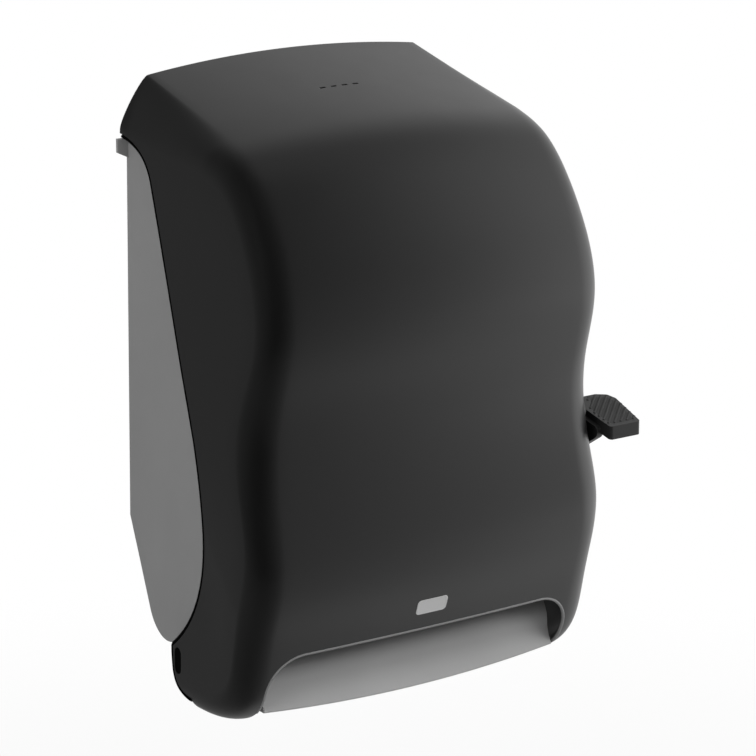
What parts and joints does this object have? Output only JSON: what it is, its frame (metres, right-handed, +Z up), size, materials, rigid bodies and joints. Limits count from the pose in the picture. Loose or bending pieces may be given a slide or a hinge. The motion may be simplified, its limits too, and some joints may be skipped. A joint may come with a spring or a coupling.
{
  "type": "paper towel dispenser",
  "caption": "Wall-mounted roll paper towel dispenser with a wavy moulded cover, grey cheeks and chute, and a side lever that feeds the sheet over a serrated blade.",
  "frame": {"origin": "on the wall face, in the middle of the four wall screws", "axes": "+Z up, -Y away from the wall towards the front, +X to the right with the lever"},
  "size_m": [0.3699, 0.2365, 0.4955],
  "materials": {
    "cover_plastic": "smoked, satin gloss",
    "grey_plastic": "fine grain",
    "black_plastic": "fine grain",
    "grip_plastic": "dimpled",
    "natural_plastic": "natural acetal",
    "rubber": "ground rubber",
    "steel": "zinc plated",
    "blade_steel": "stamped strip"
  },
  "bodies": {
    "chassis": {"back_plate": "grey_plastic", "left_cheek": "grey_plastic", "right_cheek": "grey_plastic", "cheek_screws": "steel", "hinge_pins": "steel", "left_side_frame": "black_plastic", "right_side_frame": "black_plastic", "frame_screws": "steel", "chute_screws": "steel", "paper_chute": "grey_plastic", "blade_crossbar": "steel", "crossbar_screws": "steel", "cutter_blade": "blade_steel", "blade_screws": "steel", "shaft_bushes": "natural_plastic", "latch_keeper": "steel", "keeper_screws": "steel", "roll_arm_brackets": "black_plastic", "roll_arm_pins": "steel", "torsion_springs": "steel", "pinch_pivot_rod": "steel"},
    "cover": {"front_cover": "cover_plastic", "lock_housing": "black_plastic", "lock_spring": "steel"},
    "latch": {"lock_slide": "natural_plastic"},
    "hand_lever": {"lever": "black_plastic", "lever_grip": "grip_plastic", "lever_shaft": "steel", "lever_screw": "steel", "lever_clip": "steel", "drive_sector": "natural_plastic"},
    "pinion": {"drive_pinion": "natural_plastic", "one_way_clutch": "natural_plastic"},
    "roller": {"feed_shaft": "steel", "feed_roller": "natural_plastic", "feed_sleeves": "rubber", "feed_thumbwheel": "black_plastic", "feed_clip": "steel"},
    "pinch_arms": {"pinch_carrier": "black_plastic"},
    "pinch": {"pinch_roller": "natural_plastic"},
    "transfer": {"transfer_bar": "black_plastic"},
    "right_arm": {"right_roll_arm": "black_plastic"},
    "left_arm": {"left_roll_arm": "black_plastic"},
    "right_hub": {"right_core_hub": "natural_plastic"},
    "left_hub": {"left_core_hub": "natural_plastic"}
  },
  "joints": [
    {"name": "cover_hinge", "type": "hinge", "parent": "chassis", "child": "cover", "pos_m": [0, -0.102, -0.27], "axis": [1, 0, 0], "range_deg": [0, 90]},
    {"name": "lock_release", "type": "slide", "parent": "cover", "child": "latch", "axis": [0, 0, -1], "range_m": [0, 0.005], "stiffness_N_per_m": 500, "springref_m": -0.004, "deforming": ["lock_spring"]},
    {"name": "lever_pivot", "type": "hinge", "parent": "chassis", "child": "hand_lever", "pos_m": [0, -0.07847, -0.148], "axis": [1, 0, 0], "range_deg": [0, 40], "stiffness_Nm_per_rad": 0.6, "springref_deg": -34.38},
    {"name": "pinion_spin", "type": "hinge", "parent": "chassis", "child": "pinion", "pos_m": [0, -0.148, -0.212], "axis": [1, 0, 0], "range_deg": [-240, 0]},
    {"name": "feed_roller_spin", "type": "hinge", "parent": "chassis", "child": "roller", "pos_m": [0, -0.148, -0.212], "axis": [1, 0, 0], "continuous": true},
    {"name": "pinch_swing", "type": "hinge", "parent": "chassis", "child": "pinch_arms", "pos_m": [0, -0.104, -0.192], "axis": [1, 0, 0], "range_deg": [0, 6], "stiffness_Nm_per_rad": 0.5, "springref_deg": -14.32},
    {"name": "pinch_spin", "type": "hinge", "parent": "pinch_arms", "child": "pinch", "pos_m": [0, -0.12141, -0.22168], "axis": [1, 0, 0], "continuous": true},
    {"name": "transfer_swing", "type": "hinge", "parent": "chassis", "child": "transfer", "pos_m": [0, -0.166, -0.164], "axis": [1, 0, 0], "range_deg": [0, 30]},
    {"name": "right_arm_swing", "type": "hinge", "parent": "chassis", "child": "right_arm", "pos_m": [0.1115, -0.016, 0.01], "axis": [0, 0, 1], "range_deg": [0, 10], "stiffness_Nm_per_rad": 2, "springref_deg": -8.59},
    {"name": "left_arm_swing", "type": "hinge", "parent": "chassis", "child": "left_arm", "pos_m": [-0.1115, -0.016, 0.01], "axis": [0, 0, -1], "range_deg": [0, 10], "stiffness_Nm_per_rad": 2, "springref_deg": -8.59},
    {"name": "right_hub_spin", "type": "hinge", "parent": "right_arm", "child": "right_hub", "pos_m": [0.104, -0.112, 0.01], "axis": [1, 0, 0], "continuous": true},
    {"name": "left_hub_spin", "type": "hinge", "parent": "left_arm", "child": "left_hub", "pos_m": [-0.104, -0.112, 0.01], "axis": [1, 0, 0], "continuous": true}
  ],
  "couplings": [
    {"joint": "pinion_spin", "follows": "lever_pivot", "ratio": -6},
    {"joint": "pinch_spin", "follows": "feed_roller_spin", "ratio": -2.1111}
  ]
}
